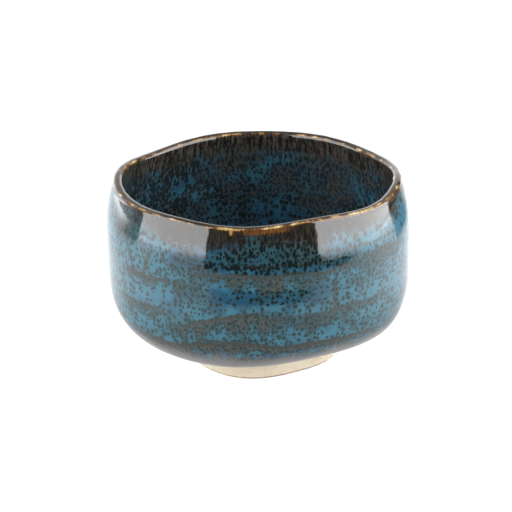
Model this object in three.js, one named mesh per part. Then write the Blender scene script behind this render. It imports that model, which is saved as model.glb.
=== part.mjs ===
// A hand-thrown matcha bowl: a stoneware body on a trimmed foot ring, with a coat of glaze
// outside, another inside and a run-off band of glaze over the lip.
// Millimetres, +Z up. The throwing axis is Z and the foot stands on Z = 0.

import * as THREE from 'three';

// Driving dimensions of the glazed surface, before the clay's slow waves are added
const RIM_HEIGHT = 75.4;        // foot base to the crown of the lip
const BELLY_RADIUS = 60.5;      // widest radius
const BELLY_HEIGHT = 46;        // height of the widest radius
const FOOT_RADIUS = 29.3;       // outer radius of the foot at its base
const FOOT_FLARE = 1.8;         // how much wider the foot is where it meets the hull
const FOOT_HEIGHT = 8.6;        // base to the hull
const LIP_RADIUS = 2;           // the lip is a half round of this radius
const SHOULDER_LEAN = 3.7;      // how far the wall leans in from the belly to the lip
const SHOULDER_POWER = 3;       // how late that lean comes
const WALL = 5.4;               // wall thickness at the belly, glaze included
const FLOOR_HEIGHT = 14.5;      // base to the middle of the tea well
const RECESS_HEIGHT = 6.5;      // depth of the hollow under the foot

// Superellipse powers: how full the curves below the belly are
const HULL_POWERS = { across: 2.67, down: 2.81 };
const WELL_POWERS = { across: 2.8, down: 2.8 };

// The coats
const GLAZE = 0.9;              // thickness of each coat
const GAP = 0.3;                // clearance between neighbouring solids
const BAND_OUTSIDE = 3.6;       // depth of the lip band below the lip's half round, outside
const BAND_INSIDE = 5.6;        // and inside
const BARE_TURN = 0.03;         // share of the hull's curve left bare around the foot

// Foot ring
const FOOT_INNER_RADIUS = 22.5; // inner radius where the ring meets the body
const FOOT_MOUTH = 1.7;         // how much wider the hollow is at the base
const FOOT_CHAMFER = 0.6;

// Slow waves left by throwing, trimming and drying.
// Each one: how many crests go round, height of a crest in mm, degrees from +X to a crest
const RIM_OUT = [[2, 0.5, 25], [3, 0.3, -48], [4, 0.35, 9], [5, 0.25, 33], [6, 0.25, 5]];
const RIM_UP = [[1, 0.65, 60], [2, 0.45, -8], [3, 0.45, -58], [4, 0.35, 0], [5, 0.3, 15], [6, 0.5, -4]];
const BELLY_OUT = [[2, 0.3, -5], [3, 0.4, -20]];
const FOOT_OUT = [[1, 0.5, 24], [3, 0.55, 5], [4, 1, -9]];
const HIP_UP = [[1, 1.15, -100], [2, 2, -60]];

// Where those waves come and go, as shares of the rim height
const RIM_OUT_FADE = [0.35, 1];
const BELLY_OUT_FADE = [0.08, 0.43];
const FOOT_OUT_FADE = [0.08, 0.38];
const HIP_TOP = 0.7;
const CALM_RADIUS = 20;         // and they all die out inside this radius

// Facets
const FACETS_ROUND = 54;
const FOOT_WALL_SHARES = [0.3, 0.6, 0.85, 1];
const CURVE_STEPS = 11;
const SHOULDER_STEPS = 4;
const LIP_STEPS = 6;

const { smoothstep, degToRad } = THREE.MathUtils;
const LIP_BASE = RIM_HEIGHT - LIP_RADIUS;
const WELL_RADIUS = BELLY_RADIUS - WALL;
const LIP_OUTER = BELLY_RADIUS - SHOULDER_LEAN;
const LIP_INNER = LIP_OUTER - 2 * LIP_RADIUS;
const CLAY_DEPTH = GLAZE + GAP;
const ON_AXIS = 1e-6;           // a radius below this is on the throwing axis

// ---- The clay's waves ----

function ripple(waves, angle) {
  return waves.reduce((sum, [crests, height, degrees]) =>
    sum + height * Math.cos(crests * (angle - degToRad(degrees))), 0);
}

// How far a point of the true round shape moves outwards and upwards.
// The trimming waves of the foot and hip are on the outside only.
function clayWave({ r, z, outside }, angle) {
  const h = z / RIM_HEIGHT;
  let out = smoothstep(h, ...RIM_OUT_FADE) * ripple(RIM_OUT, angle)
    + smoothstep(h, ...BELLY_OUT_FADE) * ripple(BELLY_OUT, angle);
  let up = h ** 3 * ripple(RIM_UP, angle);
  if (outside) {
    const low = Math.min(h / HIP_TOP, 1);
    out += (1 - smoothstep(h, ...FOOT_OUT_FADE)) * ripple(FOOT_OUT, angle);
    up += 4 * low * (1 - low) * ripple(HIP_UP, angle);
  }
  const calm = smoothstep(r, 0, CALM_RADIUS);
  return { out: calm * out, up: calm * up };
}

// ---- The glazed surface as one path, from the foot, round the lip, to the middle of the well ----

const steps = (count, from = 0) => Array.from({ length: count + 1 - from }, (_, i) => (i + from) / count);

// A quarter superellipse: turn 0 is the level end, turn 1 the upright end at the belly
function quarter(inner, bottom, outer, powers, turn) {
  const angle = turn * Math.PI / 2;
  return {
    r: inner + (outer - inner) * Math.sin(angle) ** (2 / powers.across),
    z: BELLY_HEIGHT - (BELLY_HEIGHT - bottom) * Math.abs(Math.cos(angle)) ** (2 / powers.down),
  };
}

const hullPoint = (turn) => ({
  ...quarter(FOOT_RADIUS + FOOT_FLARE, FOOT_HEIGHT, BELLY_RADIUS, HULL_POWERS, turn), outside: true,
});
const wellPoint = (turn) => ({
  ...quarter(0, FLOOR_HEIGHT, WELL_RADIUS, WELL_POWERS, turn), outside: false,
});

// The leaning wall above the belly, outside or inside
function shoulderPoint(z, outside) {
  const share = ((z - BELLY_HEIGHT) / (LIP_BASE - BELLY_HEIGHT)) ** SHOULDER_POWER;
  const [low, high] = outside ? [BELLY_RADIUS, LIP_OUTER] : [WELL_RADIUS, LIP_INNER];
  return { r: low + (high - low) * share, z, outside };
}

function lipPoint(turn) {
  const angle = turn * Math.PI;
  const centre = LIP_OUTER - LIP_RADIUS;
  return {
    r: centre + LIP_RADIUS * Math.cos(angle),
    z: LIP_BASE + LIP_RADIUS * Math.sin(angle),
    outside: turn < 0.5,
  };
}

const between = (low, high, share) => low + (high - low) * share;

// The wall from the belly to the seam, then from just above the seam to the lip
function wallPath(seamDepth, outside) {
  const seam = LIP_BASE - seamDepth;
  const below = steps(SHOULDER_STEPS, 1).map((s) => between(BELLY_HEIGHT, seam - GAP / 2, s));
  return [...below, seam + GAP / 2, LIP_BASE].map((z) => shoulderPoint(z, outside));
}

function surfacePath() {
  const hull = [0, BARE_TURN, ...steps(CURVE_STEPS, 1)].map(hullPoint);
  const outerWall = wallPath(BAND_OUTSIDE, true);
  const lip = steps(LIP_STEPS).slice(1, -1).map(lipPoint);
  const innerWall = wallPath(BAND_INSIDE, false).reverse();
  const well = steps(CURVE_STEPS).reverse().map(wellPoint);
  const bandStart = hull.length + SHOULDER_STEPS;
  const bandEnd = hull.length + outerWall.length + lip.length + 2;
  return { path: [...hull, ...outerWall, ...lip, ...innerWall, ...well], bandStart, bandEnd };
}

// Unit direction out of the clay at each point of the path
function withNormals(path) {
  return path.map((point, i) => {
    const before = path[Math.max(i - 1, 0)];
    const after = path[Math.min(i + 1, path.length - 1)];
    const [dr, dz] = point.r < ON_AXIS ? [-1, 0] : [after.r - before.r, after.z - before.z];
    const length = Math.hypot(dr, dz);
    return { ...point, nr: dz / length, nz: -dr / length };
  });
}

const sink = (points, depth) => points.map((p) => ({
  r: p.r - depth * p.nr, z: p.z - depth * p.nz, outside: p.outside,
}));

// ---- Solids ----

// Turns an outline about Z and gives it the clay's waves. The outline starts and ends on the
// axis, or is closed on itself here.
function turned(outline) {
  const loop = outline[0].r < ON_AXIS ? outline : [...outline, outline[0]];
  const geometry = new THREE.LatheGeometry(loop.map(({ r, z }) => new THREE.Vector2(r, z)), FACETS_ROUND);
  geometry.rotateX(Math.PI / 2);
  const position = geometry.attributes.position;
  for (let i = 0; i < position.count; i += 1) {
    const point = loop[i % loop.length];
    const angle = Math.atan2(position.getY(i), position.getX(i));
    const { out, up } = clayWave(point, angle);
    const r = point.r + out;
    position.setXYZ(i, r * Math.cos(angle), r * Math.sin(angle), point.z + up);
  }
  geometry.computeVertexNormals();
  return geometry;
}

// A coat of glaze over one stretch of the surface
const coat = (points) => turned([...sink(points, GLAZE).reverse(), ...points]);

function bodyGeometry(surface) {
  const seat = FOOT_HEIGHT + CLAY_DEPTH;
  const spigot = FOOT_INNER_RADIUS - GAP;
  const underside = [[0, RECESS_HEIGHT], [spigot, RECESS_HEIGHT], [spigot, seat]];
  return turned([...underside.map(([r, z]) => ({ r, z, outside: true })), ...sink(surface, CLAY_DEPTH)]);
}

function footGeometry() {
  const top = FOOT_HEIGHT + GLAZE;
  const wallRadius = (z) => FOOT_RADIUS + FOOT_FLARE * (z / FOOT_HEIGHT) ** 2;
  const wall = FOOT_WALL_SHARES.map((share) => [wallRadius(share * FOOT_HEIGHT), share * FOOT_HEIGHT]);
  const outline = [
    [FOOT_INNER_RADIUS + FOOT_MOUTH, 0],
    [FOOT_RADIUS - FOOT_CHAMFER, 0],
    [FOOT_RADIUS, FOOT_CHAMFER],
    ...wall,
    [FOOT_RADIUS + FOOT_FLARE, top],
    [FOOT_INNER_RADIUS, top],
    [FOOT_INNER_RADIUS, RECESS_HEIGHT - GAP],
    [FOOT_INNER_RADIUS + FOOT_MOUTH - FOOT_CHAMFER, FOOT_CHAMFER],
  ];
  return turned(outline.map(([r, z]) => ({ r, z, outside: true })));
}

function mesh(name, geometry, color, roughness) {
  const result = new THREE.Mesh(geometry, new THREE.MeshStandardMaterial({ color, roughness, metalness: 0 }));
  result.name = name;
  return result;
}

const { path, bandStart, bandEnd } = surfacePath();
const surface = withNormals(path);

const group = new THREE.Group();
group.name = 'matcha_bowl';
group.add(
  mesh('stoneware_body', bodyGeometry(surface), 0xd8cbb5, 0.8),
  mesh('foot_ring', footGeometry(), 0xe0d6c0, 0.85),
  mesh('outer_glaze', coat(surface.slice(1, bandStart)), 0x3a6f9c, 0.18),
  mesh('lip_glaze', coat(surface.slice(bandStart, bandEnd)), 0x9a6a35, 0.2),
  mesh('inner_glaze', coat(surface.slice(bandEnd)), 0x2a5878, 0.18),
);

export default group;
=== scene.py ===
"""A hand-thrown matcha bowl: bare clay body and foot, with a speckled blue glaze outside and
inside and an amber break over the lip. Lengths are in millimetres until a mesh is made."""

import math

import bpy
import numpy as np
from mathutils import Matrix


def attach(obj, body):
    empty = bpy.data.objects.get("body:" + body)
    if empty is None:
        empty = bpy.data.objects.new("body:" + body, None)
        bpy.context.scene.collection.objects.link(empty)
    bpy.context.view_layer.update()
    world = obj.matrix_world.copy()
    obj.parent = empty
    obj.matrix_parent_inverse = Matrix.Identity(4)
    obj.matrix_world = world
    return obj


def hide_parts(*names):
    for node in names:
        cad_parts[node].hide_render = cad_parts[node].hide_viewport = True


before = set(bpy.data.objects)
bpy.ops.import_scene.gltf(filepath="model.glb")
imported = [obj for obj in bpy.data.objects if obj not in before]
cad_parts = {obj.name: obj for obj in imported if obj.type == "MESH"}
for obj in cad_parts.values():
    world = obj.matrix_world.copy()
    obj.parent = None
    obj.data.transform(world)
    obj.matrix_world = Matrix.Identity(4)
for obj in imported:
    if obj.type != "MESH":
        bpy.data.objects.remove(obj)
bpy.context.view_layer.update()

MM = 0.001

# ---- Driving dimensions, the same as the CAD model's ----

RIM_HEIGHT = 75.4
BELLY_RADIUS = 60.5
BELLY_HEIGHT = 46.0
FOOT_RADIUS = 29.3
FOOT_FLARE = 1.8
FOOT_HEIGHT = 8.6
FOOT_INNER_RADIUS = 22.5
FOOT_MOUTH = 1.7
RECESS_HEIGHT = 6.5
LIP_RADIUS = 2.0
SHOULDER_LEAN = 3.7
SHOULDER_POWER = 3
WALL = 5.4
FLOOR_HEIGHT = 14.5
HULL_POWERS = (2.67, 2.81)
WELL_POWERS = (2.8, 2.8)
GLAZE = 0.9
BAND_OUTSIDE = 3.6
BAND_INSIDE = 5.6

LIP_BASE = RIM_HEIGHT - LIP_RADIUS
WELL_RADIUS = BELLY_RADIUS - WALL
LIP_OUTER = BELLY_RADIUS - SHOULDER_LEAN
LIP_INNER = LIP_OUTER - 2 * LIP_RADIUS
HULL_RADIUS = FOOT_RADIUS + FOOT_FLARE

# Slow waves of the clay: crests round the bowl, height of a crest, degrees from +X to a crest
RIM_OUT = ((2, 0.5, 25), (3, 0.3, -48), (4, 0.35, 9), (5, 0.25, 33), (6, 0.25, 5))
RIM_UP = ((1, 0.65, 60), (2, 0.45, -8), (3, 0.45, -58), (4, 0.35, 0), (5, 0.3, 15), (6, 0.5, -4))
BELLY_OUT = ((2, 0.3, -5), (3, 0.4, -20))
FOOT_OUT = ((1, 0.5, 24), (3, 0.55, 5), (4, 1.0, -9))
HIP_UP = ((1, 1.15, -100), (2, 2.0, -60))

# Where those waves come and go, as shares of the rim height, and the radius they die out inside
RIM_OUT_FADE = (0.35, 1)
BELLY_OUT_FADE = (0.08, 0.43)
FOOT_OUT_FADE = (0.08, 0.38)
HIP_TOP = 0.7
CALM_RADIUS = 20.0

COLUMNS = 480           # points round the bowl in every row
ANGLES = np.arange(COLUMNS) * 2 * math.pi / COLUMNS


# ---- Shape formulas ----


def smooth(x, low, high):
    t = np.clip((x - low) / (high - low), 0, 1)
    return t * t * (3 - 2 * t)


def ripple(waves, angle):
    return sum(h * np.cos(n * (angle - math.radians(at))) for n, h, at in waves)


def place(r, z, angle, outside):
    """The clay's slow waves moved into a point of the true round shape, as x, y, z."""
    h = z / RIM_HEIGHT
    low = np.minimum(h / HIP_TOP, 1)
    out = smooth(h, *RIM_OUT_FADE) * ripple(RIM_OUT, angle)
    out = out + smooth(h, *BELLY_OUT_FADE) * ripple(BELLY_OUT, angle)
    out = out + outside * (1 - smooth(h, *FOOT_OUT_FADE)) * ripple(FOOT_OUT, angle)
    up = h**3 * ripple(RIM_UP, angle) + outside * 4 * low * (1 - low) * ripple(HIP_UP, angle)
    calm = smooth(r, 0, CALM_RADIUS)
    radius, height = r + calm * out, z + calm * up
    coordinates = (radius * np.cos(angle), radius * np.sin(angle), height)
    return np.stack(np.broadcast_arrays(*coordinates), -1)


def quarter(inner, bottom, outer, powers, turn):
    """A quarter superellipse from level (turn 0) to upright at the belly (turn 1)."""
    a = turn * math.pi / 2
    r = inner + (outer - inner) * np.sin(a) ** (2 / powers[0])
    return r, BELLY_HEIGHT - (BELLY_HEIGHT - bottom) * np.abs(np.cos(a)) ** (2 / powers[1])


def shoulder(z, low, high):
    return low + (high - low) * ((z - BELLY_HEIGHT) / (LIP_BASE - BELLY_HEIGHT)) ** SHOULDER_POWER


def glazed_path(fine=1500, crowd=1.4):
    """Radius and height along the skin from the foot, up outside, over the lip and down the well."""
    turn = np.linspace(0, 1, fine)
    wall_z = np.linspace(BELLY_HEIGHT, LIP_BASE, fine)
    lip_angle = math.pi * turn
    lip_r = LIP_OUTER - LIP_RADIUS + LIP_RADIUS * np.cos(lip_angle)
    stretches = (
        quarter(HULL_RADIUS, FOOT_HEIGHT, BELLY_RADIUS, HULL_POWERS, turn**crowd),
        (shoulder(wall_z, BELLY_RADIUS, LIP_OUTER), wall_z),
        (lip_r, LIP_BASE + LIP_RADIUS * np.sin(lip_angle)),
        (shoulder(wall_z, WELL_RADIUS, LIP_INNER)[::-1], wall_z[::-1]),
        quarter(0, FLOOR_HEIGHT, WELL_RADIUS, WELL_POWERS, (1 - turn) ** crowd),
    )
    first, rest = stretches[0], stretches[1:]
    return tuple(np.concatenate([first[k], *(part[k][1:] for part in rest)]) for k in (0, 1))


PATH_R, PATH_Z = glazed_path()
PATH_RUN = np.concatenate(([0], np.cumsum(np.hypot(np.diff(PATH_R), np.diff(PATH_Z)))))
CROWN_RUN = PATH_RUN[PATH_Z.argmax()]
END_RUN = PATH_RUN[-1]
_dr, _dz = np.gradient(PATH_R, PATH_RUN), np.gradient(PATH_Z, PATH_RUN)
PATH_NR, PATH_NZ = _dz, -_dr
PATH_NR[-1], PATH_NZ[-1] = 0, 1


def skin(run, angle, lift):
    """x, y, z of the point at that run along the path, raised by lift out of the clay."""
    r, z = np.interp(run, PATH_RUN, PATH_R), np.interp(run, PATH_RUN, PATH_Z)
    nr, nz = np.interp(run, PATH_RUN, PATH_NR), np.interp(run, PATH_RUN, PATH_NZ)
    return place(r + lift * nr, z + lift * nz, angle, (run < CROWN_RUN) * 1.0)


def lumps(points, size, seed, count=28):
    """A smooth random field of about unit height, with lumps of about that size in mm."""
    rng = np.random.default_rng(seed)
    direction = rng.normal(size=(count, 3))
    direction /= np.linalg.norm(direction, axis=1)[:, None]
    pace = 2 * math.pi / (size * rng.uniform(0.7, 1.6, count))
    phase = rng.uniform(0, 2 * math.pi, count)
    total = sum(np.sin(points @ (d * p) + f) for d, p, f in zip(direction, pace, phase))
    return total * math.sqrt(2 / count)


# ---- Meshes ----


def lathe_faces(count, ring, pole_first, pole_last):
    """Faces between rows of points. The poles' middle points come after all the rows."""
    i, j = np.meshgrid(np.arange(count if ring else count - 1), np.arange(COLUMNS), indexing="ij")
    up, side = (i + 1) % count, (j + 1) % COLUMNS
    corners = (i * COLUMNS + j, i * COLUMNS + side, up * COLUMNS + side, up * COLUMNS + j)
    faces = np.stack(corners, -1).reshape(-1, 4).tolist()
    middle = count * COLUMNS
    for wanted, row, flip in ((pole_first, 0, True), (pole_last, count - 1, False)):
        if wanted:
            for k in range(COLUMNS):
                edge = [row * COLUMNS + k, row * COLUMNS + (k + 1) % COLUMNS]
                faces.append([*(edge[::-1] if flip else edge), middle])
            middle += 1
    return faces


def add_values(mesh, values):
    """Give the mesh's points their values. Points past a grid's end take its last value."""
    for key, grid in values.items():
        flat = grid.reshape(-1)
        flat = np.concatenate([flat, np.repeat(flat[-1:], len(mesh.vertices) - len(flat))])
        layer = mesh.attributes.new(key, "FLOAT", "POINT")
        layer.data.foreach_set("value", flat.astype(np.float32))


def lathe_mesh(name, rows, normals=None, ring=False, pole_first=False, pole_last=False, values=None):
    """A mesh from rows of points that go round the axis. ring closes the last row on the first,
    and a pole closes an end row with one middle point. values are per-point attributes."""
    poles = [row for wanted, row in ((pole_first, 0), (pole_last, -1)) if wanted]
    points = [*rows.reshape(-1, 3), *(rows[row].mean(0) for row in poles)]
    mesh = bpy.data.meshes.new(name)
    mesh.from_pydata(np.array(points) * MM, [], lathe_faces(len(rows), ring, pole_first, pole_last))
    mesh.shade_smooth()
    add_values(mesh, values or {})
    if normals is not None:
        means = [normals[row].mean(0) for row in poles]
        flat = [*normals.reshape(-1, 3), *(mean / np.linalg.norm(mean) for mean in means)]
        mesh.normals_split_custom_set_from_vertices(flat)
    piece = bpy.data.objects.new(name, mesh)
    bpy.context.scene.collection.objects.link(piece)
    return piece


def grid_normals(rows):
    """Unit normals of a grid of points that closes on itself round the axis."""
    along = np.gradient(rows, axis=0)
    around = np.roll(rows, -1, axis=1) - np.roll(rows, 1, axis=1)
    n = np.cross(around, along)
    return n / np.maximum(np.linalg.norm(n, axis=-1, keepdims=True), 1e-9)


def uneven_steps(start, stop, pace_at):
    """Runs from start to stop, stepped by pace_at(run)."""
    runs = [start]
    while runs[-1] < stop:
        runs.append(runs[-1] + pace_at(runs[-1]))
    runs = np.array(runs)
    return runs - (runs - start) / (runs[-1] - start) * (runs[-1] - stop)


# ---- Shader helper ----


class Shader:
    """A material's node tree, built by calls that return sockets."""

    def __init__(self, name):
        self.material = bpy.data.materials.new(name)
        self.material.use_nodes = True
        self.tree = self.material.node_tree
        self.surface = self.tree.nodes["Principled BSDF"]

    def node(self, kind, inputs=(), **settings):
        node = self.tree.nodes.new(kind)
        for key, value in settings.items():
            setattr(node, key, value)
        for key, value in dict(inputs).items():
            self.put(node.inputs[key], value)
        return node

    def put(self, socket, value):
        if isinstance(value, bpy.types.NodeSocket):
            self.tree.links.new(value, socket)
        elif isinstance(value, tuple) and len(value) == 3 and socket.type == "RGBA":
            socket.default_value = (*value, 1)
        else:
            socket.default_value = value

    def math(self, operation, a, b=0.0, c=0.0, clamp=False):
        inputs = {0: a, 1: b, 2: c}
        return self.node("ShaderNodeMath", inputs, operation=operation, use_clamp=clamp).outputs[0]

    def plus(self, a, b):
        return self.math("ADD", a, b)

    def minus(self, a, b):
        return self.math("SUBTRACT", a, b)

    def times(self, a, b):
        return self.math("MULTIPLY", a, b)

    def centred(self, noise, reach):
        """Noise of 0 to 1, turned into half of reach each way."""
        return self.times(self.minus(noise, 0.5), reach)

    def step(self, value, low, high):
        """Smoothly from 0 at low to 1 at high."""
        inputs = {"Value": value, "From Min": low, "From Max": high}
        return self.node("ShaderNodeMapRange", inputs, interpolation_type="SMOOTHSTEP").outputs[0]

    def mix(self, a, b, share):
        """A colour between a and b."""
        return self.node("ShaderNodeMix", {0: share, 6: a, 7: b}, data_type="RGBA").outputs[2]

    def value(self, name):
        """One of the mesh's per-point values."""
        return self.node("ShaderNodeAttribute", attribute_name=name).outputs["Fac"]

    def place(self):
        """The point's place on the object, in metres."""
        return self.node("ShaderNodeTexCoord").outputs["Object"]

    def place_mm(self):
        return self.scaled(self.place(), 1000, 1000, 1000)

    def xyz(self, vector):
        return self.node("ShaderNodeSeparateXYZ", {0: vector}).outputs[:]

    def scaled(self, vector, x, y, z):
        inputs = {0: vector, 1: (x, y, z)}
        return self.node("ShaderNodeVectorMath", inputs, operation="MULTIPLY").outputs[0]

    def noise(self, vector, size, detail=2.0, roughness=0.5, seed=0.0):
        """Noise with features of about that size, in the vector's units."""
        inputs = {"Vector": vector, "Scale": 1 / size, "Detail": detail}
        inputs |= {"Roughness": roughness, "W": seed}
        return self.node("ShaderNodeTexNoise", inputs, noise_dimensions="4D")

    def colour(self, value):
        self.put(self.surface.inputs["Base Color"], value)

    def glow(self, strength, tint=(1.0, 1.0, 1.0)):
        self.put(self.surface.inputs["Emission Color"], tint)
        self.put(self.surface.inputs["Emission Strength"], strength)

    def bump(self, height, distance):
        """Relief from a height of about 0 to 1, over a distance in metres."""
        inputs = {"Height": height, "Distance": distance, "Strength": 1.0}
        self.put(self.surface.inputs["Normal"], self.node("ShaderNodeBump", inputs).outputs[0])


# ---- Glaze ----

DEEP_BLUE = (0.020, 0.072, 0.130)
CLEAR_BLUE = (0.036, 0.152, 0.216)
MESH_GREY = (0.023, 0.056, 0.062)
MESH_DARK = (0.037, 0.053, 0.062)
BROWN_FILM = (0.068, 0.057, 0.043)
VEIN_BROWN = (0.038, 0.037, 0.030)
# lilac grey of the thin coat, made paler as a painted reflection of the table and foot
LILAC_AND_TABLE_REFLECTION = (0.21, 0.19, 0.19)
SPOT_BLACK = (0.006, 0.010, 0.011)
RIM_BLACK = (0.012, 0.010, 0.009)
RIM_BROWN = (0.034, 0.028, 0.021)
RIM_LIGHT = (0.090, 0.077, 0.061)
RUST = (0.12, 0.050, 0.015)
GOLD = (0.40, 0.26, 0.09)
CREAM = (0.70, 0.62, 0.42)

WRAP_RADIUS = 57.0              # the pattern is laid round the wall at this radius
LARGE_SPOTS = (2.1, 0.49)       # spacing and mean radius in mm
SMALL_SPOTS = (1.4, 0.30)
FAR_OFFSET = 400.0              # keeps the small spots' cells apart from the large spots'
GLAZE_ROUGHNESS = 0.06
GLAZE_IOR = 1.54
GLAZE_RELIEF = 0.012 * MM


def pattern_place(s, point):
    """Flat coordinates in mm for the spots: round the wall and up it, or across the well's floor."""
    x, y, _ = s.xyz(point)
    around = s.times(s.math("ARCTAN2", x, s.times(y, -1.0)), WRAP_RADIUS)
    wall = s.node("ShaderNodeCombineXYZ", {0: around, 1: s.value("flow")}).outputs[0]
    ragged = s.noise(point, 3.0, 1.0, seed=17.0).outputs["Fac"]
    share = s.math("GREATER_THAN", s.plus(s.value("level"), ragged), 1.0)
    return s.node("ShaderNodeMix", {0: share, 4: wall, 5: point}, data_type="VECTOR").outputs[1]


def nudged(s, vector, noise, reach):
    """The vector moved by coloured noise, by about half of reach each way."""
    inputs = {0: noise, 1: (0.5, 0.5, 0.5)}
    centred = s.node("ShaderNodeVectorMath", inputs, operation="SUBTRACT").outputs[0]
    inputs = {0: vector, 1: s.scaled(centred, reach, reach, reach)}
    return s.node("ShaderNodeVectorMath", inputs, operation="ADD").outputs[0]


def spot_layer(s, place_mm, size, radius, share, offset):
    """How far a point is from the nearest spot's middle, as a share of the spot's own radius.
    Only some of the cells have a spot, and elsewhere the value is large."""
    inputs = {0: place_mm, 1: (offset, offset, 0)}
    shifted = s.node("ShaderNodeVectorMath", inputs, operation="ADD").outputs[0]
    inputs = {"Vector": shifted, "Scale": 1 / size, "Randomness": 0.8}
    cell = s.node("ShaderNodeTexVoronoi", inputs, voronoi_dimensions="2D")
    chance = s.node("ShaderNodeSeparateColor", {0: cell.outputs["Color"]}).outputs
    own = s.math("MULTIPLY_ADD", chance[0], radius / size * 0.6, radius / size * 0.7)
    near = s.math("DIVIDE", cell.outputs["Distance"], own)
    absent = s.step(s.minus(chance[1], share), -0.04, 0.04)
    return s.plus(near, s.times(absent, 4.0))


def nearest_spot(s, bent, spread):
    """How far a point is from the nearest spot of either size, less where spots run together."""
    film = s.value("film")
    crowd = s.math("MULTIPLY_ADD", film, 1.0 - spread, spread)
    large = spot_layer(s, bent, *LARGE_SPOTS, crowd, 0.0)
    small = spot_layer(s, bent, *SMALL_SPOTS, s.step(film, -0.2, 0.7), FAR_OFFSET)
    return s.minus(s.math("MINIMUM", large, small), s.value("merge"))


def blue_colour(s, point, grain, mesh_colour):
    """Clear and deep blue, grey under a thin film and brown under a thick one."""
    patch = s.noise(point, 9.0, 3.0, seed=1.0).outputs["Fac"]
    deep = s.times(s.value("deep"), 0.7)
    pale = s.math("SUBTRACT", s.step(patch, 0.3, 0.6), deep, clamp=True)
    blue = s.mix(DEEP_BLUE, CLEAR_BLUE, pale)
    thick = s.plus(s.value("film"), s.centred(grain, 1.5))
    blue = s.mix(blue, mesh_colour, s.times(s.step(thick, 0.1, 0.8), 0.85))
    return s.mix(blue, BROWN_FILM, s.times(s.step(thick, 0.7, 1.15), 0.9))


def spotted(s, colour, near, spots, mesh_colour):
    """Black spots with soft grey edges."""
    colour = s.mix(colour, mesh_colour, s.times(s.step(near, 2.2, 1.0), 0.75))
    opacity = s.math("MULTIPLY_ADD", s.value("deep"), 0.16, 0.82)
    return s.mix(colour, SPOT_BLACK, s.times(spots, opacity))


def veined(s, colour, grain):
    """Brown veins along the bands, and lilac grey low on the wall, partly thin glaze and partly a
    painted reflection of the pale table and foot.
    """
    frayed = s.plus(s.value("vein"), s.centred(grain, 1.2))
    colour = s.mix(colour, VEIN_BROWN, s.times(s.step(frayed, 0.25, 0.75), 0.75))
    # the lilac grey low on the wall is thin glaze and also a painted reflection of the pale table and
    # foot
    thin_and_mirrored = s.plus(s.value("thin"), s.centred(grain, 0.5))
    return s.mix(colour, LILAC_AND_TABLE_REFLECTION, s.times(s.step(thin_and_mirrored, 0.2, 1.0), 0.8))


def darkened_rim(s, colour, bent, grain, near):
    """Black and brown streaks under the lip, with a ragged edge that catches on the spots."""
    streak = s.noise(s.scaled(bent, 1.0, 0.27, 1.0), 1.1, 3.0, 0.6, seed=9.0).outputs["Fac"]
    ragged = s.plus(s.centred(grain, 5.0), s.centred(streak, 3.0))
    edge = s.minus(s.plus(s.value("depth"), ragged), s.times(s.step(near, 2.4, 0.8), 2.5))
    mottle = s.plus(streak, s.centred(grain, 0.7))
    tone = s.mix(RIM_BROWN, RIM_LIGHT, s.value("inner"))
    brown = s.mix(RIM_BLACK, tone, s.step(mottle, 0.38, 0.68))
    solid = s.math("MULTIPLY_ADD", s.step(edge, 5.0, 1.0), 0.35, 0.65)
    return s.mix(colour, brown, s.times(s.step(edge, 6.8, 3.5), solid))


def amber_lip(s, colour, flat):
    """Rust, gold and cream where the glaze breaks over the lip."""
    fine = s.noise(s.scaled(flat, 1.0, 0.3, 1.0), 0.55, 2.0, 0.6, seed=19.0).outputs["Fac"]
    thinness = s.plus(s.value("amber"), s.centred(fine, 1.2))
    for tone, low, high in ((RUST, 0.3, 0.6), (GOLD, 0.65, 0.95), (CREAM, 1.0, 1.35)):
        colour = s.mix(colour, tone, s.step(thinness, low, high))
    return colour


def glaze_material(name, mesh_colour, spread):
    """Blue glaze with dark spots that crowd into brown bands, black near the lip and amber on it.
    spread is the share of cells that have a spot where there is no film."""
    s = Shader(name)
    point = s.place_mm()
    flat = pattern_place(s, point)
    bent = nudged(s, flat, s.noise(flat, 2.0, 1.0, seed=3.0).outputs["Color"], 1.2)
    grain = s.noise(bent, 0.9, 3.0, 0.65, seed=5.0).outputs["Fac"]
    near = nearest_spot(s, bent, spread)
    spots = s.step(near, 1.45, 0.55)

    colour = blue_colour(s, point, grain, mesh_colour)
    colour = spotted(s, colour, near, spots, mesh_colour)
    colour = veined(s, colour, grain)
    colour = darkened_rim(s, colour, bent, grain, near)
    s.colour(amber_lip(s, colour, flat))

    s.surface.inputs["Roughness"].default_value = GLAZE_ROUGHNESS
    s.surface.inputs["IOR"].default_value = GLAZE_IOR
    peel = s.noise(point, 2.6, 1.0, seed=13.0).outputs["Fac"]
    s.bump(s.plus(peel, s.times(spots, -0.1)), GLAZE_RELIEF)
    return s.material


# ---- Clay ----

CLAY_PALE = (0.76, 0.67, 0.52)
CLAY_WARM = (0.66, 0.56, 0.41)
CLAY_SPECK = (0.20, 0.12, 0.07)
CLAY_EDGE = (0.30, 0.19, 0.11)
CLAY_ROUGHNESS = 0.82
CLAY_RELIEF = 0.08 * MM
SPECK_SPACING = 1.3     # mm


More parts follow.
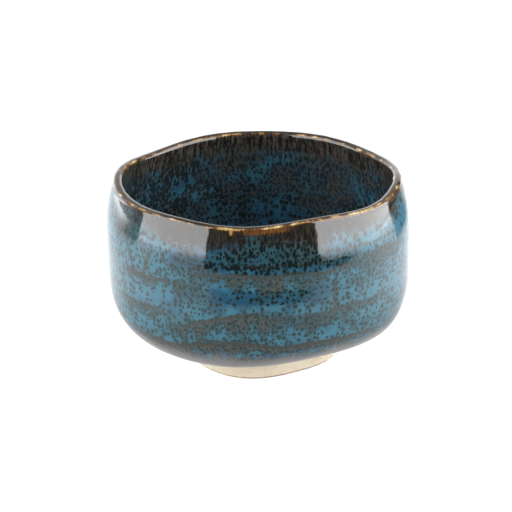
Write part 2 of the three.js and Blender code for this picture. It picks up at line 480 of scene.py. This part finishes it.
def clay_material(name):
    """Bare fired stoneware: pale and dry, with sand grains, pinholes and a toasted base edge."""
    s = Shader(name)
    point = s.place_mm()
    cloud = s.noise(point, 7.0, 4.0, 0.55, seed=2.0).outputs["Fac"]
    colour = s.mix(CLAY_PALE, CLAY_WARM, s.step(cloud, 0.35, 0.75))
    inputs = {"Vector": point, "Scale": 1 / SPECK_SPACING, "W": 4.0}
    grain = s.node("ShaderNodeTexVoronoi", inputs, voronoi_dimensions="4D").outputs
    chance = s.node("ShaderNodeSeparateColor", {0: grain["Color"]}).outputs[0]
    speck = s.times(s.step(grain["Distance"], 0.2, 0.1), s.step(chance, 0.75, 0.8))
    colour = s.mix(colour, CLAY_SPECK, s.times(speck, 0.6))
    fray = s.noise(point, 1.2, 2.0, seed=6.0).outputs["Fac"]
    burnt = s.step(s.plus(s.value("toast"), s.centred(fray, 0.8)), 0.4, 0.9)
    s.colour(s.mix(colour, CLAY_EDGE, burnt))
    s.surface.inputs["Roughness"].default_value = CLAY_ROUGHNESS
    sand = s.noise(point, 0.35, 3.0, 0.7, seed=8.0).outputs["Fac"]
    s.bump(s.minus(sand, s.times(speck, 0.8)), CLAY_RELIEF)
    return s.material


# ---- The glazed skin, shared by the three coats ----

EDGE_RUN = 6.0          # where the outer coat stops, along the path from the foot
EDGE_FADE = 22.0        # the edge's drips die out over this much of the path
EDGE_ROUND = 0.9        # rounding of the coat's edge
BEAD_HEIGHT = 0.45      # how far the rolled edge stands above the coat
POLE_GAP = 0.6          # radius of the last row round the middle of the well
BACK_LIFT = 0.02        # keeps a coat's inner face off the clay
BAND_TOP_RUN = CROWN_RUN - math.pi / 2 * LIP_RADIUS - BAND_OUTSIDE
BAND_LOW_RUN = CROWN_RUN + math.pi / 2 * LIP_RADIUS + BAND_INSIDE


def glaze_edge(angle):
    """How far the outer coat's lower edge sits from its mean run: slow drips and small ones."""
    slow = ((1, 0.5, 160), (3, 0.5, 40), (5, 0.35, -75), (9, 0.25, 20))
    return ripple(slow, angle)


def relief(run, angle, points):
    """Throwing rings, slow unevenness of the wall and a lumpy lip, in mm out of the surface."""
    outside = run < CROWN_RUN
    below = np.abs(run - CROWN_RUN)
    height, pitch = np.where(outside, 0.010, 0.03), np.where(outside, 6.5, 8.0)
    rings = height * np.sin(2 * math.pi * points[..., 2] / pitch + angle)
    rings = rings * smooth(below, 4, 14) * smooth(END_RUN - run, 2, 12)
    slow = 0.06 * lumps(points, 34, 21) * smooth(below, 1, 12)
    lip = 0.02 * lumps(points * (1, 1, 0.3), 6, 22) * (1 - smooth(below, 1.5, 7))
    return rings + slow + lip


def edge_profile(gap):
    """Thickness of the outer coat at that distance from its edge: a rolled bead, then the coat."""
    rise = np.sqrt(np.clip(1 - (1 - np.clip(gap / EDGE_ROUND, 0, 1)) ** 2, 0, 1))
    bead = BEAD_HEIGHT * np.exp(-(((gap - 1.3) / 1.1) ** 2))
    return rise * (GLAZE + bead)


def skin_rows(runs):
    """Runs, angles and points of the glazed surface for rows at those runs."""
    run = runs[:, None] + np.zeros(COLUMNS)
    shift = glaze_edge(ANGLES) * (1 - smooth(run, EDGE_RUN, EDGE_RUN + EDGE_FADE))
    run = run + np.where(run < CROWN_RUN, shift, 0)
    angle = ANGLES + np.zeros(run.shape)
    rough = skin(run, angle, 0.0)
    gap = run - (EDGE_RUN + shift)
    thick = np.where(run < CROWN_RUN, edge_profile(gap), GLAZE)
    points = skin(run, angle, thick - GLAZE + relief(run, angle, rough))
    return run, angle, points


def pace(run):
    """Row spacing along the path: fine at the rolled edge and over the lip."""
    from_edge, from_crown = run - EDGE_RUN, abs(run - CROWN_RUN)
    return min(0.12 + 0.10 * max(from_edge, 0), 0.22 + 0.07 * from_crown, 0.8)


LEVEL_RADII = (38.0, 46.0)      # inside these radii the pattern lies on the level, not round the wall


def flow_height(run):
    """Way along the path for the glaze's pattern, squeezed near the lip so that spots run long."""
    fine = np.linspace(0, END_RUN, 4000)
    squeeze = 0.55 + 0.22 * smooth(np.abs(fine - CROWN_RUN), 8, 24)
    way = np.concatenate(([0], np.cumsum(squeeze[1:] * np.diff(fine))))
    return np.interp(run, fine, way)


# Bands where brown film gathered as the outer glaze ran. Each one: the bearing of its middle in
# degrees from the front, half its spread in degrees, its top edge's height there, how that edge
# climbs per degree, how deep the band is below its edge, and its strength
FILM_BANDS = (
    (2, 30, 60.0, 0.055, 2.6, 0.45),
    (6, 34, 56.2, 0.030, 6.0, 0.90),
    (-46, 20, 49.6, 0.000, 3.2, 0.75),
    (56, 14, 58.5, -0.080, 7.0, 0.65),
    (-14, 18, 37.6, 0.300, 7.0, 0.90),
    (24, 30, 39.5, 0.010, 9.5, 0.65),
    (-50, 18, 37.0, 0.030, 6.0, 0.60),
    (-34, 24, 23.6, 0.090, 6.0, 1.05),
    (14, 38, 25.8, -0.030, 5.5, 1.05),
    (105, 26, 50.0, 0.060, 5.0, 0.75),
    (118, 34, 34.0, -0.090, 6.0, 0.80),
    (-112, 30, 54.0, -0.050, 4.5, 0.75),
    (-122, 36, 37.0, 0.080, 6.5, 0.80),
    (178, 30, 57.0, 0.040, 3.0, 0.80),
    (170, 32, 43.0, -0.070, 6.0, 0.70),
    (90, 34, 25.0, -0.020, 5.0, 0.75),
    (-98, 34, 22.0, 0.030, 4.5, 0.80),
    (180, 40, 26.0, 0.040, 5.0, 0.75),
)

# Thick runs down the outside: bearing and height at the top, bearing and height at the foot,
# half width in mm, strength
RUNS = (
    (-61, 64, -53, 49, 1.0, 1.0),
    (-45, 60, -48, 49, 0.9, 1.0),
    (-39.5, 61, -37.5, 57, 0.6, 1.0),
    (-38, 40, -45, 31, 0.8, 0.6),
    (41, 53, 42, 42, 0.6, 0.3),
    (10, 31, 13, 23, 0.6, 0.6),
    (-16, 59, -15, 52, 0.6, 0.5),
    (96, 60, 92, 44, 1.0, 0.8),
    (150, 56, 153, 38, 0.9, 0.7),
    (-140, 60, -136, 40, 1.0, 0.8),
)


def bearing_from_front(points):
    return np.degrees(np.arctan2(points[..., 0], -points[..., 1]))


def turned_by(bearing, middle):
    return (bearing - middle + 180) % 360 - 180


def bands_below(bearing, z, drift):
    """For each band, its strength at each point, how far below its upper edge that is, its depth."""
    for middle, spread, height, climb, deep, strength in FILM_BANDS:
        off = turned_by(bearing, middle)
        yield strength * np.exp(-((off / spread) ** 4)), height + climb * off + drift - z, deep


def band_drift(points):
    """How far up or down the bands wander."""
    return 0.7 * lumps(points * (1, 1, 0.3), 22, 31)


def band_amount(bearing, z, drift, curtain):
    """Film in the bands: sharp along their upper edges, hanging in curtains below."""
    total = 0
    for strength, below, deep in bands_below(bearing, z, drift):
        hem = deep * (1 + 0.35 * curtain)
        inside = smooth(below, -0.5, 0.5) * (1 - smooth(below, 0.4 * hem, 1.3 * hem))
        total = total + 0.85 * strength * inside
    return total


def vein_amount(run, points):
    """Thin brown lines along the upper edges of the bands."""
    total = 0
    bands = bands_below(bearing_from_front(points), points[..., 2], band_drift(points))
    for strength, below, _ in bands:
        total = np.maximum(total, strength * np.exp(-(((below - 0.5) / 0.9) ** 2)))
    return np.where(run < CROWN_RUN, total, 0)


def thin_coat_and_reflection_amount(run, points):
    """Where the glaze thins to lilac grey as the wall turns under, together with a painted reflection
    of the pale table and foot there.
    """
    z = points[..., 2] + 0.7 * lumps(points, 14, 43)
    return np.where(run < CROWN_RUN, smooth(z, 10.5, 14) * (1 - smooth(z, 14, 25)), 0)


def deep_amount(run, points):
    """Where the blue is darker: high on the front, in a row at mid height on the front, and low
    in the well. Below 0 it is paler, with fainter spots, round the sides and back."""
    y, z = points[..., 1], points[..., 2]
    beside = smooth(np.abs(bearing_from_front(points)), 20, 46)
    slot = 0.8 * np.exp(-(((z - 45.5) / 3) ** 2))
    outside = np.maximum(smooth(z, 50, 60), slot) * smooth(-y, 44, 54) - 0.7 * beside
    return np.where(run < CROWN_RUN, outside, 0.8 * (1 - smooth(z, 38, 52)))


def run_amount(bearing, z):
    """Film in the thick runs down the outside."""
    total = 0
    for top_bearing, top, foot_bearing, foot, half, strength in RUNS:
        share = (top - z) / (top - foot)
        middle = top_bearing + (foot_bearing - top_bearing) * share
        across = np.radians(turned_by(bearing, middle)) * BELLY_RADIUS
        ends = smooth(share, -0.15, 0.1) * (1 - smooth(share, 0.85, 1.15))
        total = total + strength * ends * np.exp(-((across / half) ** 2))
    return total


def outer_film(points):
    """Film outside: a cloudy base, the bands and runs, and more high on the front and by the foot."""
    bearing, z = bearing_from_front(points), points[..., 2]
    film = 0.22 + 0.13 * lumps(points * (0.35, 0.35, 1.2), 9, 32) + 0.10 * lumps(points, 12, 33)
    film = film + 0.50 * smooth(z, 57, 62) * (1 - smooth(np.abs(turned_by(bearing, 10)), 12, 24))
    curtain = lumps(points * (1, 1, 0.08), 5, 34)
    film = film + band_amount(bearing, z, band_drift(points), curtain) + run_amount(bearing, z)
    film = film + 0.60 * np.exp(-((turned_by(bearing, -61) / 10) ** 4)) * smooth(z, 58, 63)
    return film + 0.5 * (1 - smooth(z, 17, 21)) - 0.10 * smooth(np.abs(bearing), 20, 46)


def inner_film(points):
    """Film in the well: heavy all over, less on its floor and where the blue shows as a net."""
    bearing, z = bearing_from_front(points), points[..., 2]
    film = 0.66 + 0.22 * lumps(points * (0.8, 0.8, 1.0), 16, 35) + 0.12 * lumps(points, 7, 36)
    film = film - 0.25 * (1 - smooth(z, 40, 50)) + 0.2 * smooth(z, 58, 66)
    return film - 0.22 * net_amount(bearing, z)


def film_amount(run, points):
    """How much brown film there is, which also crowds the spots. 1 is thick."""
    return np.clip(np.where(run < CROWN_RUN, outer_film(points), inner_film(points)), 0, 1.3)


# Rows where spots ran together: bearing of the middle, half the spread in degrees, height there,
# climb per degree, half depth in mm, strength
MERGED_ROWS = (
    (2, 26, 58.9, 0.050, 1.1, 1.15),
    (7, 17, 65.5, 0.000, 3.6, 0.40),
    (-14, 7, 62.5, 0.000, 4.0, 0.35),
    (-8, 16, 56.8, -0.020, 0.6, 0.45),
    (-46, 18, 49.0, 0.030, 0.7, 0.35),
    (-8, 22, 36.8, 0.220, 0.6, 0.30),
    (118, 30, 57.0, -0.040, 1.1, 0.70),
    (-125, 30, 58.0, 0.030, 1.1, 0.70),
    (180, 26, 55.0, 0.030, 1.1, 0.60),
)


def net_amount(bearing, z):
    """The left of the well, where big spots leave only a net of blue between them."""
    return np.exp(-((turned_by(bearing, -122) / 34) ** 4)) * smooth(z, 42, 48)


def merge_amount(run, points):
    """How much the spots have grown into each other, as a share of a spot's radius."""
    bearing, z = bearing_from_front(points), points[..., 2]
    wander = 0.5 * lumps(points, 12, 37)
    total = 0
    for middle, spread, height, climb, half, strength in MERGED_ROWS:
        off = turned_by(bearing, middle)
        window = np.exp(-((off / spread) ** 4))
        total = total + strength * window * np.exp(-(((z + wander - height - climb * off) / half) ** 2))
    inner = 0.25 * np.clip(lumps(points, 9, 38), 0, 1.5) + 0.6 * net_amount(bearing, z)
    return np.where(run < CROWN_RUN, total, inner)


# How much deeper the dark band under the lip runs outside: bearing, half the spread, mm
RIM_DEPTHS = (
    (-62, 12, -1.5),
    (-35, 17, 6.0),
    (-14, 8, 3.6),
    (13, 13, 2.0),
    (42, 20, 4.5),
    (66, 8, 1.5),
    (130, 40, 3.0),
    (-130, 35, 2.5),
)


def rim_extra(run, points):
    """How much deeper than its least depth the dark band is, in mm."""
    bearing = bearing_from_front(points)
    total = 0.7 * lumps(points * (1, 1, 0.1), 14, 39)
    for middle, spread, extra in RIM_DEPTHS:
        total = total + extra * np.exp(-((turned_by(bearing, middle) / spread) ** 4))
    return np.where(run < CROWN_RUN, total, 3.6 + 1.0 * lumps(points * (1, 1, 0.1), 12, 40))


# Where the glaze broke to amber on the lip: bearing of the middle, half the spread in degrees,
# how far down it reaches in mm, strength
AMBER_PATCHES = (
    (-13, 5.0, 3.0, 1.1),
    (40, 20, 3.4, 0.60),
    (-11, 0.9, 5.5, 1.0),
    (-6.5, 1.6, 2.6, 1.0),
    (3, 12, 5.4, 0.62),
    (6, 3.5, 2.4, 0.80),
    (19, 5.0, 2.3, 0.9),
    (66, 9, 3.4, 0.75),
    (-62, 8, 3.2, 0.45),
    (110, 9, 2.6, 0.8),
    (152, 6, 3.0, 0.7),
    (-105, 8, 2.8, 0.8),
    (-150, 10, 2.4, 0.7),
)


def amber_amount(run, points):
    """Where the glaze breaks thin: a line each side of the lip's crown, and patches outside."""
    below, bearing = CROWN_RUN - run, bearing_from_front(points)
    patchy = 0.62 + 0.30 * lumps(points * (1, 1, 0.1), 5, 42)
    right = np.exp(-((turned_by(bearing, 42) / 40) ** 4))
    middle, width = 1.75 - 0.5 * right, 0.6 + 0.25 * right
    outer_line = np.exp(-(((below - middle) / width) ** 2)) * (patchy + 0.2 * right)
    inner_line = np.exp(-(((below + 1.6) / 0.7) ** 2)) * (0.15 + 0.85 * patchy)
    total = outer_line + inner_line
    for middle, spread, reach, strength in AMBER_PATCHES:
        window = np.exp(-((turned_by(bearing, middle) / spread) ** 4))
        down = smooth(below, 0.5, 1.3) * (1 - smooth(below, 0.6 * reach, reach))
        total = np.maximum(total, strength * window * down)
    return total


def glaze_values(run, points):
    """The per-point values that the glaze's material reads."""
    radius = np.hypot(points[..., 0], points[..., 1])
    return {
        "flow": flow_height(run),
        "level": 1.5 * (1 - smooth(radius, *LEVEL_RADII)),
        "depth": np.abs(run - CROWN_RUN) - rim_extra(run, points),
        "film": film_amount(run, points),
        "merge": merge_amount(run, points),
        "vein": vein_amount(run, points),
        "thin": thin_coat_and_reflection_amount(run, points),
        "deep": deep_amount(run, points),
        "inner": smooth(run - CROWN_RUN, 0, 3),
        "amber": amber_amount(run, points),
    }


def coat_piece(name, runs, material, node, pole_last=False):
    """One coat as a closed shell: its visible face, and its face on the clay."""
    run, angle, points = skin_rows(runs)
    normals = grid_normals(points)
    if pole_last:
        normals[-1] = (0, 0, 1)
    back = skin(run, angle, BACK_LIFT - GLAZE)
    values = glaze_values(run, points)
    if pole_last:
        order = (back[::-1], points), (-normals[::-1], normals)
        doubled = {k: np.concatenate([v[::-1], v]) for k, v in values.items()}
    else:
        order = (points, back[::-1]), (normals, -normals[::-1])
        doubled = {k: np.concatenate([v, v[::-1]]) for k, v in values.items()}
    rows, facing = (np.concatenate(parts) for parts in order)
    piece = lathe_mesh(name, rows, facing, not pole_last, pole_last, pole_last, doubled)
    piece.data.materials.append(material)
    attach(piece, "root")
    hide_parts(node)
    return piece


def build_coats():
    outside = glaze_material("outer_glaze_blue", MESH_GREY, 0.72)
    inside = glaze_material("inner_glaze_blue", MESH_DARK, 0.8)
    outer = uneven_steps(EDGE_RUN, BAND_TOP_RUN, pace)
    lip = uneven_steps(BAND_TOP_RUN, BAND_LOW_RUN, pace)
    inner = uneven_steps(BAND_LOW_RUN, END_RUN - POLE_GAP, pace)
    coat_piece("outer_coat", outer, outside, "outer_glaze")
    coat_piece("lip_coat", lip, outside, "lip_glaze")
    coat_piece("inner_coat", inner, inside, "inner_glaze", pole_last=True)


# ---- Bare clay ----

FOOT_ROUND = 0.7        # rounding of the foot's outer base edge
SPIRAL_HEIGHT = 0.10    # the cutting spiral in the recess
SPIRAL_PITCH = 2.6
CLAY_SINK = 0.04        # how much deeper than the glaze the clay under it lies
TURNING_LINE = 0.05     # height of the turning lines on the bare clay


def recess_ceiling():
    """The hollow under the foot, with a cutting spiral and a small middle point."""
    radii = np.array([0.6, *np.linspace(1.2, FOOT_INNER_RADIUS - 0.35, 44)])[:, None]
    spiral = SPIRAL_HEIGHT * np.sin(2 * math.pi * radii / SPIRAL_PITCH - ANGLES)
    nipple = 1.1 * np.exp(-((radii / 3.2) ** 2))
    return place(radii, RECESS_HEIGHT + spiral * smooth(radii, 2, 6) - nipple, ANGLES, 1.0)


def build_body(clay):
    """The thrown clay: bare round the foot and in the recess, under the coats elsewhere."""
    runs = uneven_steps(0, END_RUN - POLE_GAP, lambda run: 0.3 if run < 14 else 1.6)
    run = runs[:, None] + np.zeros(COLUMNS)
    angle = ANGLES + np.zeros(run.shape)
    bare = 1 - smooth(run, EDGE_RUN + 1.5, EDGE_RUN + 4)
    rings = TURNING_LINE * np.sin(run * 4.2 + angle) * bare
    shell = skin(run, angle, rings - GLAZE - CLAY_SINK)
    corner_z = np.array([[RECESS_HEIGHT + 0.3], [FOOT_HEIGHT + 0.8]])
    corner = place(np.full((2, 1), FOOT_INNER_RADIUS - 0.3), corner_z, ANGLES, 1.0)
    rows = np.concatenate([recess_ceiling(), corner, shell])
    toast = {"toast": np.zeros(rows.shape[:2])}
    body = lathe_mesh("thrown_body", rows, None, False, True, True, toast)
    body.data.materials.append(clay)
    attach(body, "root")
    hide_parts("stoneware_body")


def foot_outline():
    """Radius and height round the foot ring's section, from inside the base, out and up."""
    base_in, base_out = FOOT_INNER_RADIUS + FOOT_MOUTH, FOOT_RADIUS - FOOT_ROUND
    floor = np.linspace(base_in, base_out, 14)
    bend = np.linspace(0, math.pi / 2, 7)[1:]
    wall_z = np.linspace(FOOT_ROUND, FOOT_HEIGHT - 1.6, 26)[1:]
    wall_r = FOOT_RADIUS + FOOT_FLARE * (wall_z / FOOT_HEIGHT) ** 2
    fillet = np.linspace(0, math.pi / 2, 9)[1:]
    fillet_r = wall_r[-1] + 0.4 + 2.0 * (1 - np.cos(fillet))
    fillet_z = wall_z[-1] + 2.4 * np.sin(fillet)
    inner_z = np.linspace(FOOT_HEIGHT + 0.6, 0.8, 22)
    inner_r = FOOT_INNER_RADIUS + (FOOT_MOUTH - 0.5) * (1 - inner_z / FOOT_HEIGHT).clip(0) ** 1.5
    r = [floor, base_out + FOOT_ROUND * np.sin(bend), wall_r, fillet_r, inner_r]
    z = [0 * floor, FOOT_ROUND * (1 - np.cos(bend)), wall_z, fillet_z, inner_z]
    return np.concatenate(r), np.concatenate(z)


def build_foot(clay):
    """The turned foot ring, with turning lines and the unevenness a knife leaves."""
    r, z = foot_outline()
    r, z = r[:, None] + np.zeros(COLUMNS), z[:, None] + np.zeros(COLUMNS)
    wall = (r > FOOT_RADIUS - 0.8) & (z > 0.2)
    lines = np.where(wall, 0.04 * np.sin(z * 5.5 + 0.8 * np.sin(ANGLES)), 0.03 * np.sin(z * 6))
    sample = np.stack([r * np.cos(ANGLES), r * np.sin(ANGLES), z], -1)
    nicks = 0.07 * lumps(sample, 5, 51)
    points = place(r + lines + nicks * (z > 0.05), z, ANGLES, 1.0)
    toast = {"toast": np.exp(-(((z - 0.35) / 0.4) ** 2)) * (r > FOOT_RADIUS - 1.0)}
    foot = lathe_mesh("turned_foot", points, None, True, values=toast)
    foot.data.materials.append(clay)
    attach(foot, "root")
    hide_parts("foot_ring")


# ---- Studio, in metres ----

CAMERA_ELEVATION = math.radians(21.0)
CAMERA_DISTANCE = 1.4
CAMERA_TARGET = (-0.00094, 0.0, 0.0412)
CAMERA_LENS = 243.6
WHITE = (1.0, 1.0, 1.0)
NO_COLOUR = (0.0, 0.0, 0.0)     # for surfaces that only glow
SOFTBOX_DISTANCE = 0.85
SOFTBOX_TOP = 1.3
SOFTBOXES = (                   # side, azimuth in degrees, width, radiance
    ("left", -154.3, 1.01, 5.7),
    ("right", -12.6, 1.37, 6.7),
)
FILL_BEHIND = 0.05              # how far behind its softbox a fill light stands
FILL_BOTTOM = 0.1
FILL_RADIANCE = 3.4
TABLE_RADIUS = 0.305            # past here the front of the floor mirrors as dark
FLAG_LIFT = 0.0006              # how far above the floor the flat cards lie
FLAG_RADIUS = 1.9               # where the upright cards stand
FRONT = (-124, -50)             # the dark front of the studio, in degrees from +X
BACKDROP_RADIUS = 2.6
BACKDROP_TOP = 3.0
SURROUND_RADIUS = 3.9
SURROUND_TOP = 6.0
FLOOR_REACH = 4.0
UNDER_FLOOR = -0.01             # where the backdrop and the surround start
ROOF_HEIGHT, ROOF_RADIUS = 2.4, 1.3


def add_camera():
    data = bpy.data.cameras.new("camera")
    data.lens = CAMERA_LENS
    data.clip_end = 20
    camera = bpy.data.objects.new("camera", data)
    x, y, z = CAMERA_TARGET
    back = CAMERA_DISTANCE * math.cos(CAMERA_ELEVATION)
    rise = CAMERA_DISTANCE * math.sin(CAMERA_ELEVATION)
    camera.location = (x, y - back, z + rise)
    camera.rotation_euler = (math.pi / 2 - CAMERA_ELEVATION, 0, 0)
    bpy.context.scene.collection.objects.link(camera)
    bpy.context.scene.camera = camera


def add_fill(name, azimuth, width):
    """An upright soft light that faces the bowl and lights its own colours."""
    data = bpy.data.lights.new(name, "AREA")
    data.shape = "RECTANGLE"
    height, middle = SOFTBOX_TOP - FILL_BOTTOM, (SOFTBOX_TOP + FILL_BOTTOM) / 2
    data.size, data.size_y = width, height
    data.energy = FILL_RADIANCE * math.pi * width * height
    light = bpy.data.objects.new(name, data)
    a, distance = math.radians(azimuth), SOFTBOX_DISTANCE + FILL_BEHIND
    light.location = (distance * math.cos(a), distance * math.sin(a), middle)
    light.rotation_euler = (math.pi / 2, 0, a + math.pi / 2)
    light.visible_glossy = False
    data.cycles.use_multiple_importance_sampling = False
    bpy.context.scene.collection.objects.link(light)


def softbox_material(radiance):
    """The cloth of a softbox, which dims near the table and a little towards its top."""
    s = Shader("softbox_cloth")
    s.colour(NO_COLOUR)
    height = s.xyz(s.place())[2]
    glow = s.math("MULTIPLY_ADD", s.step(height, -0.02, 0.09), radiance * 0.4, radiance * 0.65)
    s.glow(s.minus(glow, s.times(s.step(height, 0.2, 1.2), radiance * 0.16)))
    return s.material


def build_softboxes():
    for side, azimuth, width, radiance in SOFTBOXES:
        a = math.radians(azimuth)
        middle = np.array([math.cos(a), math.sin(a)]) * SOFTBOX_DISTANCE
        across = np.array([-math.sin(a), math.cos(a)]) * width / 2
        ends = (middle - across, middle + across)
        corners = [(*end, z) for z in (0.001, SOFTBOX_TOP) for end in ends]
        card = sheet(f"softbox_{side}", corners, 2)
        card.data.materials.append(softbox_material(radiance))
        show_to_reflections_only(card)
        add_fill(f"fill_{side}", azimuth, width)


def sheet(name, points, columns):
    """A sheet from points in rows of that many columns, staged as part of the studio."""
    rows = len(points) // columns
    faces = [
        (i * columns + k, i * columns + k + 1, (i + 1) * columns + k + 1, (i + 1) * columns + k)
        for i in range(rows - 1)
        for k in range(columns - 1)
    ]
    mesh = bpy.data.meshes.new(name)
    mesh.from_pydata(points, [], faces)
    piece = bpy.data.objects.new(name, mesh)
    bpy.context.scene.collection.objects.link(piece)
    return piece


def floor_sector(start, stop, inner, outer, taper=False, steps=40):
    """Points of a flat sector just above the floor: bearings in degrees from +X and radii in
    metres. A tapered one is a crescent, which narrows to nothing at both ends."""
    share = np.linspace(0, 1, steps)
    turn = np.radians(start + (stop - start) * share)
    half = (outer - inner) / 2 * (np.sqrt(1 - (2 * share - 1) ** 2) if taper else 1)
    middle = (outer + inner) / 2
    return [
        (r * math.cos(t), r * math.sin(t), FLAG_LIFT)
        for side in (-1, 1)
        for r, t in zip(middle + side * half + 0 * turn, turn)
    ]


def wall_sector(start, stop, radius, low, high, steps=24):
    """Points of an upright sheet that stands on part of a circle round the bowl."""
    turn = np.radians(np.linspace(start, stop, steps))
    return [(radius * math.cos(t), radius * math.sin(t), z) for z in (low, high) for t in turn]


def show_to_reflections_only(card):
    card.visible_camera = card.visible_diffuse = card.visible_shadow = False
    card.visible_transmission = card.visible_volume_scatter = False


def add_flag(name, material, points):
    """A card that only reflections see, from two rows of points."""
    card = sheet(name, points, len(points) // 2)
    card.data.materials.append(material)
    show_to_reflections_only(card)


def build_flags():
    """Cards for the dark parts of the studio that the real glaze mirrors, and a grey roof."""
    black = plain_material("flag_black", (0.008, 0.009, 0.010))
    left_gap, right_gap = gap_material(0.4, 10, 34), gap_material(0.0, 56, 72)
    upright = (FLAG_RADIUS, 0.0, BACKDROP_TOP)
    add_flag("front_floor", black, floor_sector(*FRONT, TABLE_RADIUS, FLOOR_REACH))
    add_flag("front_wall", black, wall_sector(*FRONT, *upright))
    add_flag("under_right_box", black, floor_sector(-75, -22, 0.27, 0.36, taper=True))
    add_flag("slot", black, floor_sector(-119, -57, 0.168, 0.204, taper=True))
    add_flag("left_gap", left_gap, wall_sector(145, 173, *upright))
    add_flag("right_gap", right_gap, wall_sector(27, 73, *upright))
    turn = np.radians(np.linspace(0, 360, 25))
    rings = [(r, t) for r in (0.01, ROOF_RADIUS) for t in turn]
    roof = [(r * math.cos(t), r * math.sin(t), ROOF_HEIGHT) for r, t in rings]
    add_flag("roof", plain_material("roof_grey", (0.05, 0.05, 0.05), 0.3), roof)


def angle_from_side(s):
    """Degrees behind the line from side to side, on either side of the bowl."""
    x, y, _ = s.xyz(s.place())
    return s.times(s.math("ARCTAN2", y, s.math("ABSOLUTE", x)), 180 / math.pi)


def backdrop_glow(s):
    """The backdrop is brightest near the table."""
    return s.plus(s.step(s.xyz(s.place())[2], 1.6, 0.6), 1.0)


def backdrop_material():
    s = Shader("backdrop_white")
    s.colour((0.1, 0.1, 0.1))
    s.surface.inputs["Roughness"].default_value = 0.9
    s.glow(backdrop_glow(s))
    return s.material


def gap_material(dark, near, far):
    """The dark gap between a softbox and the backdrop. It fades into the backdrop between the
    angles near and far, and partly with height."""
    s = Shader("gap")
    s.colour(NO_COLOUR)
    above = s.times(s.step(s.xyz(s.place())[2], 0.9, 1.5), 0.7)
    share = s.math("MAXIMUM", s.step(angle_from_side(s), near, far), above)
    s.glow(s.math("MULTIPLY_ADD", share, s.minus(backdrop_glow(s), dark), dark))
    return s.material


def plain_material(name, colour, glow=0.0):
    """A dull surface of one colour, with no shine."""
    s = Shader(name)
    s.colour(colour)
    s.surface.inputs["Roughness"].default_value = 0.9
    s.surface.inputs["Specular IOR Level"].default_value = 0.0
    s.glow(glow)
    return s.material


def floor_gaps(s, x, away):
    """How dark the table mirrors below the gap beside each softbox."""
    turn = angle_from_side(s)
    left = s.times(s.times(s.step(turn, 30, 12), s.step(turn, 2, 5)), s.step(x, 0.0, -0.1))
    right = s.times(s.times(s.step(turn, 58, 42), s.step(turn, 24, 28)), s.step(x, 0.0, 0.1))
    left = s.times(left, s.step(away, 0.24, 0.42))
    right = s.times(right, s.step(away, 0.20, 0.27))
    return s.times(s.plus(left, right), 0.9)


def table_glow_material():
    """What the glaze mirrors of the white table: brighter at the back and beside the softboxes,
    faintly blue in front, and dark below the gaps."""
    s = Shader("table_glow")
    s.colour(NO_COLOUR)
    x, y, _ = s.xyz(s.place())
    level = s.node("ShaderNodeCombineXYZ", {0: x, 1: y}).outputs[0]
    away = s.node("ShaderNodeVectorMath", {0: level}, operation="LENGTH").outputs["Value"]
    aside = s.math("ABSOLUTE", x)
    back = s.times(s.step(y, -0.20, 0.05), s.step(away, 0.06, 0.15))
    beside = s.times(s.step(aside, 0.20, 0.85), 4.0)
    near = s.times(s.step(aside, 0.02, 0.12), 0.16)
    glow = s.plus(s.plus(back, beside), s.plus(near, 0.62))
    glow = s.times(glow, s.minus(1.0, floor_gaps(s, x, away)))
    plain = s.math("MAXIMUM", s.step(aside, 0.10, 0.45), s.step(y, -0.15, 0.0))
    s.glow(glow, s.mix((0.80, 1.0, 1.02), WHITE, plain))
    return s.material


def build_floor():
    """Two sheets: one for the camera and for light, and one for reflections only."""
    corners = [(x, y, 0) for y in (-FLOOR_REACH, FLOOR_REACH) for x in (-FLOOR_REACH, FLOOR_REACH)]
    floor = sheet("floor", corners, 2)
    floor.data.materials.append(plain_material("table_white", (0.12, 0.12, 0.12), 0.97))
    floor.visible_glossy = False
    mirrored = sheet("mirrored_floor", corners, 2)
    mirrored.data.materials.append(table_glow_material())
    show_to_reflections_only(mirrored)


def build_studio():
    build_floor()
    build_flags()
    build_softboxes()
    points = wall_sector(25, 155, BACKDROP_RADIUS, UNDER_FLOOR, BACKDROP_TOP)
    backdrop = sheet("backdrop", points, len(points) // 2)
    backdrop.data.materials.append(backdrop_material())
    points = wall_sector(0, 360, SURROUND_RADIUS, UNDER_FLOOR, SURROUND_TOP)
    surround = sheet("surround", points, len(points) // 2)
    surround.data.materials.append(plain_material("surround_white", (0.1, 0.1, 0.1), 1.1))
    surround.visible_glossy = surround.visible_diffuse = surround.visible_shadow = False

    world = bpy.data.worlds.new("world")
    world.use_nodes = True
    background = world.node_tree.nodes["Background"].inputs
    background["Color"].default_value = (*WHITE, 1)
    background["Strength"].default_value = 0.35
    bpy.context.scene.world = world
    bpy.context.scene.view_settings.view_transform = "Standard"


add_camera()
clay = clay_material("bare_clay")
build_coats()
build_body(clay)
build_foot(clay)
build_studio()
